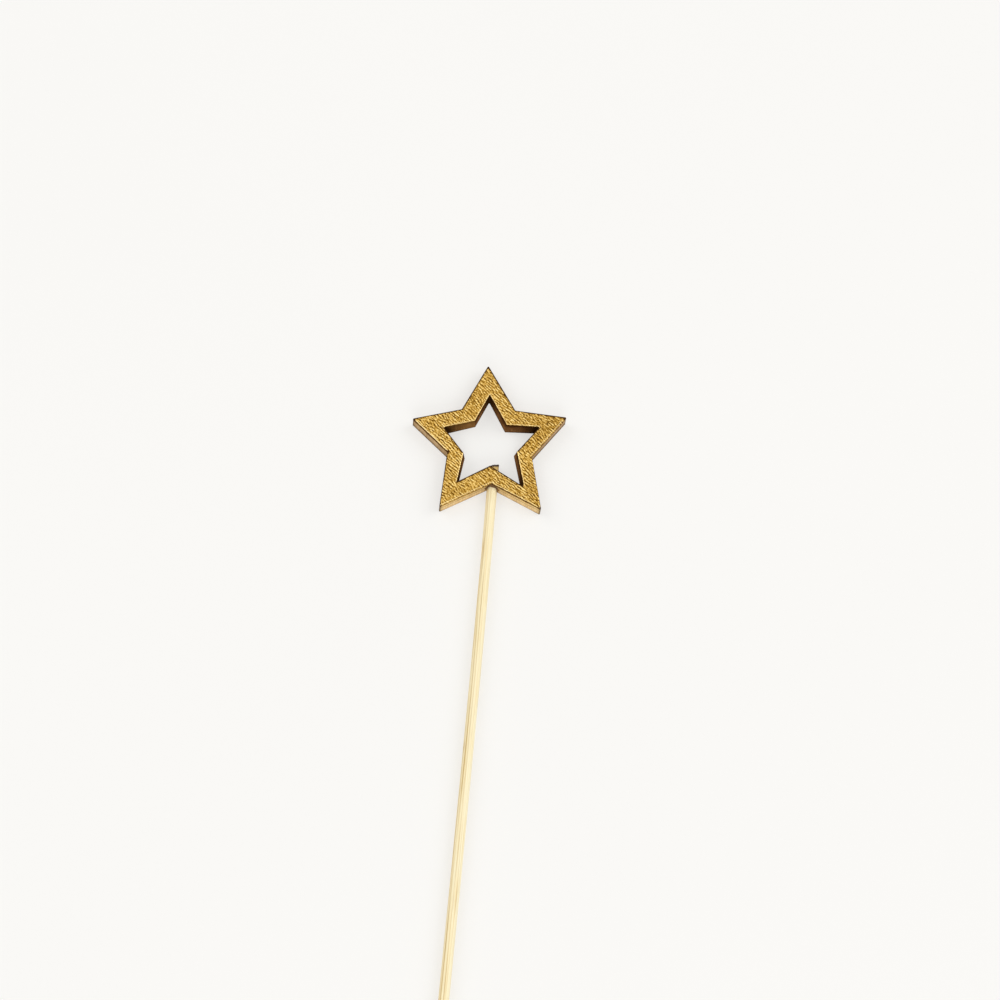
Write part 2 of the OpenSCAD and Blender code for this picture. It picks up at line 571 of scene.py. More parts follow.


# Star, in millimetres and degrees. Lists of ten go from the top point round by the left: a drift is how far
# a cut corner lies from a true star, the taper how much wider the bar is there at its back, and rimW the
# width of the dark rim, scorch with painted shade over it, along the edge after each corner where the edge
# faces away from the front. Specks are pinholes in the paint, with their radii. A pair called facing is how
# far a wall turns before a mark starts and until it is full, and a pair called X or level gives the same
# two places across the star or up the sheet
starCut = {
    "tipR": 16.0,
    "notchR": 8.3,
    "frameW": 2.85,
    "lean": 5.2,
    "holeShift": 0.45,
    "tipTrim": 0.16,
    "tipRound": 0.18,
    "notchRound": 0.12,
    "openTipRound": (0.14, 0.16, 0.16, 0.3, 0.16),
    "edgeRound": 0.08,
    "outerDrift": ((-0.3, 0.0), (-0.5, 0.1), (0.3, -0.1), (-0.3, 0.65), (-0.3, -0.15),
                   (0.12, 0.18), (0.25, -0.45), (-0.05, -0.05), (-0.5, 0.5), (-0.08, 0.0)),
    "openDrift": ((-0.05, 0.05), (0.1, 0.42), (0.55, 0.17), (-0.15, -0.45), (-0.57, 0.05),
                  (-0.1, 0.58), (0.62, -0.72), (0.18, 0.0), (0.0, 0.43), (0.18, -0.32)),
    "openTaper": (0.25, 0.2, 0.38, 0.33, 0.4, 0.32, 0.5, 0.48, 0.38, 0.42),
    "mesh": {
        "arcSteps": 6,
        "lineSteps": 80,
        "faceSteps": 45,
        "backSteps": 30,
        "wallSteps": 6,
        "bendSteps": 3,
        "hem": (0.0, 0.05, 0.1, 0.16),
        "hemW": 0.22,
    },
    "saw": {"depth": 0.03, "lines": 430, "lineL": 1.1, "waves": 60, "waveL": 2.5, "waveShare": 0.8},
    "grain": {
        "turn": -37.0,
        "cell": 0.62,
        "packets": 3,
        "waves": 1.3,
        "skew": 0.5,
        "contrast": 1.5,
        "depth": 0.03,
        "fade": 0.2,
        "plain": 0.45,
    },
    "paint": {
        "ridge": 0.03,
        "ridgeW": 0.08,
        "spare": 0.005,
        # bead of paint along the edges, with a painted highlight where they face the front, fullest to the
        # left
        "beadIn": 0.28,
        "beadW": 0.085,
        "beadLeast": 0.65,
        "beadFullX": (7, 10),
        "beadFacing": (0.35, 0.6),
        "openBeadAndHighlight": 0.65,
        "openBeadAndHighlightIn": 0.13,
        "openLitFacing": (-0.45, -0.15),
        # painted shade that darkens the front towards the right
        "thin": 0.14,
        "thinX": (4, 10),
        "specks": ((9.3, 11.8, 0.15), (-4.5, 17.3, 0.13), (-5.8, 14.1, 0.12), (-8.8, 4.1, 0.32)),
        "speckDark": 0.5,
        "speckDepth": 0.08,
        # walls painted lighter where they face the front, and a little where they face right, as painted
        # light
        "rightFacing": (-0.2, 0.3),
        "rightLitShare": 0.14,
        "litMistFacing": (0.7, 0.94),
        "openLitMist": 0.3,
        "openLitMistFacing": (0.8, 0.95),
        "openLitMistX": (-2, 3),
    },
    "scorch": {
        # dark rims: scorch, with painted shade along the edges that face away from the front
        "rimW": (0.29, 0.26, 0.29, 0.19, 0.29, 0.29, 0.08, 0.29, 0.24, 0.29),
        "openRimW": 0.3,
        "nearLineW": 0.16,
        "rightLineFade": 0.65,
        "tipW": 0.45,
        "wallTipW": 0.5,
        "openTipW": 1.8,
        # the mouth's brown is painted shadow on the wall under the notch, over the cutter's brown
        "mouth": 0.7,
        "mouthW": 0.9,
        "mouthTop": 0.8,
        "mouthTopW": 3.0,
        "mouthTopLevel": (0.6, 0.95),
    },
}


# Corners of a star: points and notches in turn at two radii, leaning with the stick's hole on the origin
def starCorners(spec, tipR, notchR, wallMidR, drift):
    k = np.arange(10)
    lean = math.radians(spec["lean"])
    angle = math.pi / 2 + lean + k * math.pi / 5
    radius = np.where(k % 2 == 0, tipR, notchR)
    shift = -spec["holeShift"]
    centreX = shift * math.cos(lean) - wallMidR * math.sin(lean)
    centreY = shift * math.sin(lean) + wallMidR * math.cos(lean)
    corners = np.stack([centreX + radius * np.cos(angle), centreY + radius * np.sin(angle)], -1)
    return corners + np.array(drift)


# Outline with rounded corners: an arc at each corner, then a straight stretch to the next arc
def roundedOutline(corners, radii, arcSteps, lineSteps):
    back = np.roll(corners, 1, 0) - corners
    ahead = np.roll(corners, -1, 0) - corners
    back /= np.linalg.norm(back, axis=1, keepdims=True)
    ahead /= np.linalg.norm(ahead, axis=1, keepdims=True)
    half = np.arccos((back * ahead).sum(1)) / 2
    middle = back + ahead
    middle /= np.linalg.norm(middle, axis=1, keepdims=True)
    hub = corners + middle * (radii / np.sin(half))[:, None]
    start = corners + back * (radii / np.tan(half))[:, None]
    end = corners + ahead * (radii / np.tan(half))[:, None]
    turn = np.sign(ahead[:, 0] * back[:, 1] - ahead[:, 1] * back[:, 0]) * (math.pi - 2 * half)
    swept = turn[:, None] * np.linspace(0, 1, arcSteps)
    spoke = start - hub
    arcs = hub[:, None] + np.stack([
        spoke[:, :1] * np.cos(swept) - spoke[:, 1:] * np.sin(swept),
        spoke[:, :1] * np.sin(swept) + spoke[:, 1:] * np.cos(swept),
    ], -1)
    part = np.linspace(0, 1, lineSteps + 2)[1:-1, None]
    lines = end[:, None] + (np.roll(start, -1, 0) - end)[:, None] * part
    return np.concatenate([arcs, lines], 1).reshape(-1, 2)


# Both outlines with their sharp corners: the opening lies one frame width inside the outer edges
def starOutlines(spec):
    step = math.pi / 5
    tipR, notchR, frameW = spec["tipR"], spec["notchR"], spec["frameW"]
    tipHalf = math.atan2(notchR * math.sin(step), tipR - notchR * math.cos(step))
    openTipR = tipR - frameW / math.sin(tipHalf)
    openNotchR = notchR - frameW / math.sin(tipHalf + step)
    wallMidR = (notchR + openNotchR) / 2
    outerCorners = starCorners(spec, tipR - spec["tipTrim"], notchR, wallMidR, spec["outerDrift"])
    openCorners = starCorners(spec, openTipR, openNotchR, wallMidR, spec["openDrift"])
    outerRound = np.tile([spec["tipRound"], spec["notchRound"]], 5)
    openRound = np.stack([spec["openTipRound"], np.full(5, spec["notchRound"])], -1).reshape(-1)
    arcSteps, lineSteps = spec["mesh"]["arcSteps"], spec["mesh"]["lineSteps"]
    outer = roundedOutline(outerCorners, outerRound, arcSteps, lineSteps)
    inner = roundedOutline(openCorners, openRound, arcSteps, lineSteps)
    return outerCorners, openCorners, outer, inner


# Profile of the bar, from the outer edge over the front and back underneath. Each row holds shares of the
# bar's width, of the edge radius across, of the sheet's thickness and of the edge radius up
def barProfile(edge, steps):
    bend = np.linspace(0, math.pi / 2, steps["bendSteps"] + 2)[1:-1]
    hem = np.array(steps["hem"]) / edge + 1
    middle = np.linspace(0, 1, steps["faceSteps"])
    across = np.concatenate([0 * hem, middle, 0 * hem + 1])
    inward = np.concatenate([hem, (1 - 2 * middle) * (1 + steps["hemW"] / edge), -hem[::-1]])
    under = np.linspace(1, 0, steps["backSteps"])
    down = np.linspace(1, 0, steps["wallSteps"])
    one, none = np.ones, np.zeros
    cosBend, sinBend = np.cos(bend), np.sin(bend)
    stretches = {
        "front": (across, inward, one(across.size), none(across.size)),
        "openTop": (one(bend.size), sinBend - 1, one(bend.size), cosBend - 1),
        "openWall": (one(down.size), none(down.size), down, 1 - 2 * down),
        "openFoot": (one(bend.size), cosBend - 1, none(bend.size), 1 - sinBend),
        "rear": (under, 1 - 2 * under, none(under.size), none(under.size)),
        "outerFoot": (none(bend.size), 1 - sinBend, none(bend.size), 1 - cosBend),
        "outerWall": (none(down.size), none(down.size), down[::-1], 1 - 2 * down[::-1]),
        "outerTop": (none(bend.size), 1 - cosBend, one(bend.size), sinBend - 1),
    }
    rows = {}
    first = 0
    for name, shares in stretches.items():
        rows[name] = slice(first, first + shares[0].size)
        first += shares[0].size
    return np.concatenate([np.stack(shares, -1) for shares in stretches.values()]), rows


# Bar of the star: each outline point looks across to its partner on the other outline, and the profile is
# carried round between them. The taper widens the bar towards its back, evenly from corner to corner
def sweepBar(spec, outer, inner):
    edge = spec["edgeRound"]
    top = sheetT - spec["paint"]["ridge"] - spec["paint"]["spare"]
    profile, rows = barProfile(edge, spec["mesh"])
    steps = len(outer)
    span = inner - outer
    width = np.linalg.norm(span, axis=1, keepdims=True)
    cross = span / width
    flatZ = profile[:, 2] * top + profile[:, 3] * edge
    cornerAt = np.arange(10) * steps / 10 + spec["mesh"]["arcSteps"] / 2
    taper = np.interp(np.arange(steps), cornerAt, spec["openTaper"], period=steps)[:, None]
    openAt = width * (1 + taper / spec["frameW"] * (1 - flatZ / top))
    offset = profile[:, 0] * openAt + profile[:, 1] * edge
    z = np.broadcast_to(flatZ, offset.shape).copy()
    sawWalls(spec["saw"], offset, z, rows)
    return {
        "x": outer[:, :1] + cross[:, :1] * offset,
        "y": outer[:, 1:] + cross[:, 1:] * offset,
        "z": z,
        "fromOuter": offset,
        "fromOpen": openAt - offset,
        "cross": cross,
        "top": top,
        "onTop": flatZ > top - edge,
        "rows": rows,
    }


# Saw marks: fine upright lines and broader waves on both walls. The two noises reach 1.8 either way, so the
# marks go from no depth to their full one
def sawWalls(saw, offset, z, rows):
    around = np.arange(len(z))[:, None] / len(z)
    lines, waves = saw["lines"], saw["waves"]
    for wall, side, seed in (("outerWall", 1, 11), ("openWall", -1, 12)):
        height = z[:, rows[wall]]
        fine = waver(around * lines + 0 * height, height / saw["lineL"], (lines, 17), seed)
        broad = waver(around * waves + 0 * height, height / saw["waveL"], (waves, 13), seed + 20)
        offset[:, rows[wall]] += side * saw["depth"] * (0.5 + 0.28 * (fine + saw["waveShare"] * broad))


# Grain under the paint, 0 on a ridge and 1 in a pore: wave packets that lie along the grain, a few degrees
# askew. Each cell of a lattice holds some, each a cosine under a round bell, at its own place and phase
def poreField(x, y, grain, seed):
    turn = math.radians(grain["turn"])
    u = (x * math.cos(turn) + y * math.sin(turn)) / grain["cell"]
    v = (y * math.cos(turn) - x * math.sin(turn)) / grain["cell"]
    i = np.floor(u).astype(int)
    j = np.floor(v).astype(int)
    lattice, packets = 64, grain["packets"]
    draws = np.random.default_rng(seed).uniform(0, 1, (5, packets, lattice, lattice))
    placeU, placeV, phase, skew, height = draws
    total = np.zeros(x.shape)
    for k in range(packets):
        for di in (-1, 0, 1):
            for dj in (-1, 0, 1):
                a, b = (i + di) % lattice, (j + dj) % lattice
                du = u - i - di - placeU[k, a, b]
                dv = v - j - dj - placeV[k, a, b]
                tilt = (skew[k, a, b] - 0.5) * grain["skew"]
                ripple = np.cos(2 * math.pi * (grain["waves"] * (dv - tilt * du) + phase[k, a, b]))
                total += (height[k, a, b] - 0.5) * ripple * np.exp(-math.pi * (du * du + dv * dv))
    return 0.5 + grain["contrast"] * total


# Grain pressed into both faces, fading out at their edges, pinholes, painted shade that darkens the front
# towards the right, and a ridge of paint along its edges. Gives how deep the grain lies at each point, with
# that shade, and the pinholes
def pressFaces(spec, bar):
    grain, paint, edge = spec["grain"], spec["paint"], spec["edgeRound"]
    x, y, z, rows = bar["x"], bar["y"], bar["z"], bar["rows"]
    inset = np.minimum(bar["fromOuter"], bar["fromOpen"])
    fade = smooth(inset, edge, edge + grain["fade"])
    poreAndShade = np.full(x.shape, grain["plain"])
    for side, up, seed in (("front", -1, 31), ("rear", 1, 71)):
        face = rows[side]
        poreAndShade[:, face] = poreField(x[:, face], y[:, face], grain, seed)
        z[:, face] += up * grain["depth"] * np.clip(poreAndShade * fade, 0, 1)[:, face]
    front = rows["front"]
    pinholes = np.zeros(x.shape)
    for speckX, speckY, speckR in paint["specks"]:
        dent = bell(np.hypot(x - speckX, y - speckY), speckR)[:, front]
        poreAndShade[:, front] += paint["speckDark"] * dent
        z[:, front] -= paint["speckDepth"] * dent
        pinholes[:, front] += dent
    # painted shade: the front darker towards the right
    poreAndShade[:, front] += paint["thin"] * smooth(x[:, front], *paint["thinX"])
    z += np.where(bar["onTop"], paint["ridge"] * bell(inset - edge, paint["ridgeW"]), 0)
    return poreAndShade, pinholes


# Unit normal of a closed outline at each of its points, to the right of the way it runs
def outlineNormal(outline):
    run = np.roll(outline, -1, 0) - np.roll(outline, 1, 0)
    run /= np.linalg.norm(run, axis=1, keepdims=True)
    return np.stack([run[:, 1], -run[:, 0]], -1)


# Distance from each outline point to the closest of some corners
def cornerDistance(outline, corners):
    return np.linalg.norm(outline[:, None] - corners[None], axis=2).min(1)[:, None]


# Distances square to both edges, how much each edge faces the front, the stick's side, which sets where
# painted light and shade go, and how much an outer edge faces right
def edgePlaces(paint, bar, outer, inner):
    cross = bar["cross"]
    outerOut, openOut = outlineNormal(outer), outlineNormal(inner)
    return {
        "outerOut": outerOut,
        "openOut": openOut,
        "toOuter": bar["fromOuter"] * np.abs((cross * outerOut).sum(1, keepdims=True)),
        "toOpen": bar["fromOpen"] * np.abs((cross * openOut).sum(1, keepdims=True)),
        "outerLit": smooth(-outerOut[:, 1:], *paint["beadFacing"]),
        "openLit": smooth(openOut[:, 1:], *paint["openLitFacing"]),
        "facingRight": smooth(outerOut[:, :1], *paint["rightFacing"]),
    }


# Brown from the cutter, with painted shade: bells of the distance to an edge, wide along the edges turned
# away from the front, where they are painted shade over the scorch, and a thin scorched line along the
# others, fainter where they face right, and bells round the points, the opening's corners and the hole's
# mouth, where it deepens into painted shadow on the wall under the notch
def burnAndShadeMarks(scorch, bar, at, outlines, pinholes):
    outerCorners, openCorners, outer, inner = outlines
    rows = bar["rows"]
    outerLit, toOuter = at["outerLit"], at["toOuter"]
    rimW = np.repeat(scorch["rimW"], len(outer) // 10)[:, None]
    # the scorched line along front-facing edges is painted fainter where they face right
    nearLine = (1 - scorch["rightLineFade"] * at["facingRight"]) * bell(toOuter, scorch["nearLineW"])
    # painted shade: a wide dark rim along the edges that face away from the front
    burnAndShade = (1 - outerLit) * bell(toOuter, rimW) + outerLit * nearLine
    burnAndShade += (1 - at["openLit"]) * bell(at["toOpen"], scorch["openRimW"])
    fromTip = cornerDistance(outer, outerCorners[::2])
    burnAndShade += bell(fromTip, scorch["tipW"]) * bell(toOuter, scorch["tipW"]) + pinholes
    fromMouth = cornerDistance(outer, outerCorners[5:6])
    level = bar["z"][:, rows["outerWall"]] / bar["top"]
    # painted shadow on the wall under the notch's apex, above the stick
    mouthTop = scorch["mouthTop"] * smooth(level, *scorch["mouthTopLevel"])
    mouth = scorch["mouth"] * bell(fromMouth, scorch["mouthW"])
    mouth = mouth + mouthTop * bell(fromMouth, scorch["mouthTopW"])
    burnAndShade[:, rows["outerWall"]] = bell(fromTip, scorch["wallTipW"]) + mouth
    burnAndShade[:, rows["openWall"]] = bell(cornerDistance(inner, openCorners[::2]), scorch["openTipW"])
    return burnAndShade


# Bead of paint with a painted highlight: a narrow bell a little inside each edge that faces the front,
# fullest towards the left
def beadMarks(paint, at, outer, pinholes):
    least = paint["beadLeast"]
    fullest = least + (1 - least) * smooth(-outer[:, :1], *paint["beadFullX"])
    # painted highlight along the edges that face the front
    bead = fullest * at["outerLit"] * bell(at["toOuter"] - paint["beadIn"], paint["beadW"])
    bead += paint["openBeadAndHighlight"] * at["openLit"] * bell(at["toOpen"] - paint["openBeadAndHighlightIn"], paint["beadW"])
    return bead - pinholes


# Gold mist as painted light on the walls that face the front, and a little on the opening's walls that
# face the front, towards the left
def litMistMarks(paint, bar, at, inner):
    rows = bar["rows"]
    litMist = np.zeros(bar["z"].shape)
    facing = paint["rightLitShare"] * at["facingRight"] - at["outerOut"][:, 1:]
    # painted light on the walls that face the front
    litMist[:, rows["outerWall"]] = smooth(facing, *paint["litMistFacing"])
    openLitMist = paint["openLitMist"] * smooth(at["openOut"][:, 1:], *paint["openLitMistFacing"])
    litMist[:, rows["openWall"]] = openLitMist * smooth(-inner[:, :1], *paint["openLitMistX"])
    return litMist


# Star: the swept bar with its faces pressed. The paint wraps round the edges, and the walls are cut wood
def makeStar(spec):
    paint = spec["paint"]
    outlines = starOutlines(spec)
    outerCorners, openCorners, outer, inner = outlines
    bar = sweepBar(spec, outer, inner)
    poreAndShade, pinholes = pressFaces(spec, bar)
    at = edgePlaces(paint, bar, outer, inner)
    marks = {
        "poreAndShade": poreAndShade,
        "burnAndShade": burnAndShadeMarks(spec["scorch"], bar, at, outlines, pinholes),
        "bead": beadMarks(paint, at, outer, pinholes),
        "litMist": litMistMarks(paint, bar, at, inner),
    }
    mesh = gridMesh("star", np.stack([bar["x"], bar["y"], bar["z"]], -1), wrapRows=True)
    for name, values in marks.items():
        paintPoints(mesh, name, values)
    rows = bar["rows"]
    finish = np.zeros(poreAndShade.shape[1], np.int32)
    finish[rows["outerFoot"].start:rows["outerWall"].stop] = 1
    finish[rows["openWall"].start:rows["openFoot"].stop] = 2
    mesh.polygons.foreach_set("material_index", np.tile(finish, len(outer)))
    print("star points:", len(mesh.vertices))
    return addObject("star", mesh, [gold, *edges.values()]), outerCorners, tuple(marks)


# Drilled hole, in millimetres: a tube whose radius wavers, with broad lumps and smaller tears
hole = {
    "radius": 1.12,
    "ragged": 0.04,
    "lumps": 16,
    "lumpL": 0.5,
    "tears": 31,
    "tearL": 0.2,
    "tearShare": 0.6,
    "from": -3.2,
    "to": 3.6,
    "rings": 30,
    "around": 64,
}


# The cut leaves a few pairs of triangles back to back on the hole's rim. Both of such a pair have the same
# corners, and the mesh is made again from the triangles that have no twin
def dropPairs(mesh, markNames):
    mesh.calc_loop_triangles()
    triangles = mesh.loop_triangles
    corners = np.empty((len(triangles), 3), np.int32)
    finish = np.empty(len(triangles), np.int32)
    points = np.empty((len(mesh.vertices), 3))
    triangles.foreach_get("vertices", corners.reshape(-1))
    triangles.foreach_get("material_index", finish)
    mesh.vertices.foreach_get("co", points.reshape(-1))
    _, group, count = np.unique(np.sort(corners, 1), axis=0, return_inverse=True, return_counts=True)
    single = count[group.reshape(-1)] == 1
    used, renumbered = np.unique(corners[single], return_inverse=True)
    clean = smoothMesh("star", points[used], renumbered.reshape(-1, 3).tolist())
    clean.polygons.foreach_set("material_index", finish[single])
    for name in markNames:
        values = np.empty(len(points))
        mesh.attributes[name].data.foreach_get("value", values)
        paintPoints(clean, name, values[used])
    for material in mesh.materials:
        clean.materials.append(material)
    return clean


# The tube is cut out of the star along the stick, and leaves bare wood in the hole
def drillStar(star, spec, markNames):
    turn = np.arange(spec["around"]) / spec["around"]
    along = np.linspace(spec["from"], spec["to"], spec["rings"])[:, None]
    rough = waver(turn * spec["lumps"] + 0 * along, along / spec["lumpL"], (spec["lumps"], 29), seed=41)
    torn = waver(turn * spec["tears"] + 0 * along, along / spec["tearL"], (spec["tears"], 37), seed=42)
    radius = spec["radius"] + spec["ragged"] * (rough + spec["tearShare"] * torn)
    angle = 2 * math.pi * turn
    tube = np.stack([radius * np.cos(angle), along + 0 * radius, axisZ + radius * np.sin(angle)], -1)
    drill = addObject("drill", gridMesh("drill", tube, capRows=True), [edges["boreWood"]])
    cut = star.modifiers.new("hole", "BOOLEAN")
    cut.operation = "DIFFERENCE"
    cut.solver = "EXACT"
    cut.material_mode = "TRANSFER"
    cut.object = drill
    evaluated = star.evaluated_get(bpy.context.evaluated_depsgraph_get())
    drilled = dropPairs(bpy.data.meshes.new_from_object(evaluated), markNames)
    star.modifiers.clear()
    star.data = drilled
    bpy.data.objects.remove(drill)
    drilled.set_sharp_from_angle(angle=creaseAngle)
    print("star drilled:", len(drilled.polygons), "faces")


star, outerCorners, markNames = makeStar(starCut)
drillStar(star, hole, markNames)
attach(star, "root")
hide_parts("star_frame")


# Stick, in millimetres and degrees. The bow is how far its middle line drifts sideways at a few places.
# Each seam between fibres has its angle round the stick, its half width and its strength. Each stain in the
# skin has its place along the stick, its angle, its length, half width and strength. The brown at the blunt
# end and at the hole's mouth has a strength and a length. Flats and dents have their number round the
# stick, their turn in radians and their depth
stickCut = {
    "radius": 0.965,
    "bluntY": 2.98,
    "mouthY": -1.55,
    "slantX": 0.25,
    "slantZ": -0.2,
    "slantL": 1.9,
    "sharpL": 9.0,
    "pointR": 0.2,
    "bowAt": (-118.0, -97.0, -80.0, -60.0, -40.0, -15.0, 4.0),
    "bow": (-0.25, -0.1, 0.02, 0.1, 0.18, 0.16, 0.02),
    "seams": ((160, 11, 1.0), (141, 5, 0.6), (120, 7, 1.0), (97, 6, 1.0), (72, 5, 0.4), (40, 5, 0.3),
              (15, 8, 0.5), (196, 8, 0.5), (231, 6, 0.6), (270, 5, 0.5), (318, 7, 0.6)),
    "seamDepth": 0.03,
    "seamWander": 9,
    "seamWanderL": 21,
    "seamFade": 0.4,
    "seamFadeL": 8,
    "stains": ((-52.6, 152, 0.8, 12, 0.9), (-54.0, 118, 7.0, 8, 0.8), (-14.0, 140, 1.6, 9, 0.5),
               (-80.5, 60, 3.0, 8, 0.5)),
    "bluntBrown": (2.2, 0.38),
    "mouthBrown": (0.4, 0.5),
    "fibres": 22,
    "fibreH": 0.012,
    "fibreL": 14,
    "flats": (3, 0.6, 0.01),
    "dents": (5, 2.1, 0.008),
    "dentTwistL": 60,
    "shaves": 9,
    "shaveDepth": 0.02,
    "shaveL": 1.3,
    "splinters": 31,
    "splinterL": 0.07,
    "stubL": 0.05,
    "stubRings": 7,
    "around": 132,
    "rings": 320,
    "nubRings": 24,
    "nubL": 2.0,
    "capRings": 9,
    "capCore": 0.08,
}


# Seams: grooves along the stick that wander round it and fade in and out
def seamField(angle, y, spec):
    at, half, strength = np.array(spec["seams"], float).T
    count = len(at)
    order = np.arange(count)
    wander = spec["seamWander"] * waver(order + 0 * y, y / spec["seamWanderL"], (count, 23), seed=56)
    fading = spec["seamFade"] * waver(order + 0 * y, y / spec["seamFadeL"], (count, 31), seed=57)
    fade = 1 - spec["seamFade"] + fading
    away = angleBetween(np.degrees(angle)[None, :, None], (at + wander)[:, None])
    return (bell(away, half) * (strength * fade)[:, None]).sum(2)


# Stains: marks that fade out along the stick and round it
def stainField(angle, y, stains):
    along, at, length, half, strength = np.array(stains, float).T
    away = angleBetween(np.degrees(angle)[None, :, None], at)
    return (strength * bell(away, half) * bell(y - along, length)[:, None]).sum(2)


# Radius of the stick: a round bar with fibres, seams, flats and dents, shaved down to the point over its
# sharp length
def stickRadius(spec, turn, y, seam):
    angle = 2 * math.pi * turn
    fibre = waver(turn * spec["fibres"] + 0 * y, y / spec["fibreL"], (spec["fibres"], 23), seed=51)
    flats, flatTurn, flatDepth = spec["flats"]
    dents, dentTurn, dentDepth = spec["dents"]
    uneven = flatDepth * np.cos(flats * angle + flatTurn)
    uneven = uneven + dentDepth * np.cos(dents * angle + dentTurn + y / spec["dentTwistL"])
    skinR = spec["radius"] + spec["fibreH"] * fibre - spec["seamDepth"] * np.clip(seam, 0, 1) + uneven
    sharp = np.clip((y - y[0]) / spec["sharpL"], 0, 1)
    shaved = waver(turn * spec["shaves"] + 0 * y, y / spec["shaveL"], (spec["shaves"], 41), seed=53)
    pointShare = spec["pointR"] / spec["radius"]
    return (skinR + spec["shaveDepth"] * shaved * (1 - sharp)) * (pointShare + (1 - pointShare) * sharp)


# How far the slanted cut reaches past the blunt end, at a place across the stick
def slantAt(spec, acrossX, acrossZ):
    return spec["slantX"] * (acrossX - spec["radius"]) + spec["slantZ"] * acrossZ


# Rings of the stick, round the bowed line at each radius. The slant only reaches the last ones, so that the
# fibres below stay straight
def stickWall(spec, turn, y, bow, acrossX, acrossZ):
    splinters = spec["splinters"]
    ending = smooth(y, spec["bluntY"] - spec["slantL"], spec["bluntY"])
    splinter = spec["splinterL"] * waver(turn * splinters, 0 * turn, (splinters, 3), seed=54)
    wallY = y + ending * (slantAt(spec, acrossX, acrossZ) + splinter)
    return np.stack([bow + acrossX, wallY, axisZ + acrossZ], -1)


# Ends of the stick: rings that shrink to the middle, flat at the point, and at the blunt end on the slant
# with cut fibres standing unevenly
def stickEnds(spec, turn, y, bow, acrossX, acrossZ):
    splinters = spec["splinters"]
    share = np.linspace(1, spec["capCore"], spec["capRings"])[1:, None]
    tipX, tipZ = share[::-1] * acrossX[0], share[::-1] * acrossZ[0]
    tip = np.stack([bow[0] + tipX, y[0] + 0 * tipX, axisZ + tipZ], -1)
    endX, endZ = share * acrossX[-1], share * acrossZ[-1]
    stub = waver(turn * splinters + 0 * share, share * spec["stubRings"], (splinters, 11), seed=55)
    endY = spec["bluntY"] + slantAt(spec, endX, endZ) + spec["stubL"] * share * stub
    return tip, np.stack([bow[-1] + endX, endY, axisZ + endZ], -1)


# Stick: a ring of fibres carried along a slightly bowed line, tapered to a point and snipped at a slant
def makeStick(spec):
    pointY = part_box("stick")[0].y / mm
    bluntY, around = spec["bluntY"], spec["around"]
    nubY = bluntY - spec["nubL"]
    body = np.linspace(pointY, nubY, spec["rings"])
    nub = np.linspace(nubY, bluntY, spec["nubRings"] + 1)[1:]
    y = np.concatenate([body, nub])[:, None]
    turn = np.arange(around) / around
    angle = 2 * math.pi * turn
    seam = seamField(angle, y, spec)
    radius = stickRadius(spec, turn, y, seam)
    bow = np.interp(y, spec["bowAt"], spec["bow"])
    acrossX, acrossZ = radius * np.cos(angle), radius * np.sin(angle)
    wall = stickWall(spec, turn, y, bow, acrossX, acrossZ)
    tip, blunt = stickEnds(spec, turn, y, bow, acrossX, acrossZ)
    mesh = gridMesh("stick", np.concatenate([tip, wall, blunt]), capRows=True)
    bluntBrown, bluntL = spec["bluntBrown"]
    mouthBrown, mouthL = spec["mouthBrown"]
    snip = bluntBrown * bell(bluntY - y, bluntL) + mouthBrown * bell(spec["mouthY"] - y, mouthL)
    unmarked = np.zeros(tip.shape[:2])
    skinMarks = {"seam": seam + stainField(angle, y, spec["stains"]), "snip": snip + 0 * radius}
    for name, values in skinMarks.items():
        paintPoints(mesh, name, np.concatenate([unmarked, values, unmarked]))
    # the blunt end is cut wood: its rings and the fan that closes them
    finish = np.zeros(len(mesh.polygons), np.int32)
    bodyFaces = (len(tip) + len(wall) - 1) * around
    finish[bodyFaces:bodyFaces + len(blunt) * around] = 1
    finish[-around:] = 1
    mesh.polygons.foreach_set("material_index", finish)
    mesh.set_sharp_from_angle(angle=creaseAngle)
    print("stick points:", len(mesh.vertices))
    return addObject("stick_bamboo", mesh, [skin, snipped])


stick = makeStick(stickCut)
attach(stick, "root")
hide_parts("stick")


# Glue, in millimetres: a film inside the hole, and a bead that creeps out over the notch and down the
# stick. Each lobe of the bead has its angle round the stick in degrees, its half width and its share of the
# full bead. Tucks are how far its hidden sides reach into the stick and the star, and sags bend its curve
glueRun = {
    "stickR": 0.93,
    "filmR": 1.09,
    "filmTop": 2.6,
    "lipR": 1.42,
    "runL": 0.62,
    "lobes": ((172, 26, 0.45), (4, 26, 1.0), (90, 45, 0.5), (270, 60, 0.6)),
    "thin": 0.12,
    "least": 0.08,
    "lumpH": 0.12,
    "lumps": 9,
    "smallLumps": 21,
    "smallShare": 0.5,
    "stickTuck": 0.03,
    "starTuck": 0.02,
    "lipTuck": 0.01,
    "sagOut": 1.3,
    "sagDown": 1.2,
    "around": 120,
    "filmSteps": 7,
    "creepSteps": 4,
    "curveSteps": 18,
}


# How full the bead is at each angle: a thin rim, a bell for each lobe and small lumps
def beadFullness(spec, turn):
    at, half, strength = np.array(spec["lobes"], float).T
    lumps, small = spec["lumps"], spec["smallLumps"]
    blob = waver(turn * lumps, 0 * turn, (lumps, 3), seed=61)
    blob = blob + spec["smallShare"] * waver(turn * small, 0 * turn, (small, 3), seed=62)
    away = angleBetween(360 * turn, at)
    full = spec["thin"] + (strength * bell(away, half)).sum(1, keepdims=True) + spec["lumpH"] * blob
    return np.clip(full, spec["least"], 1)


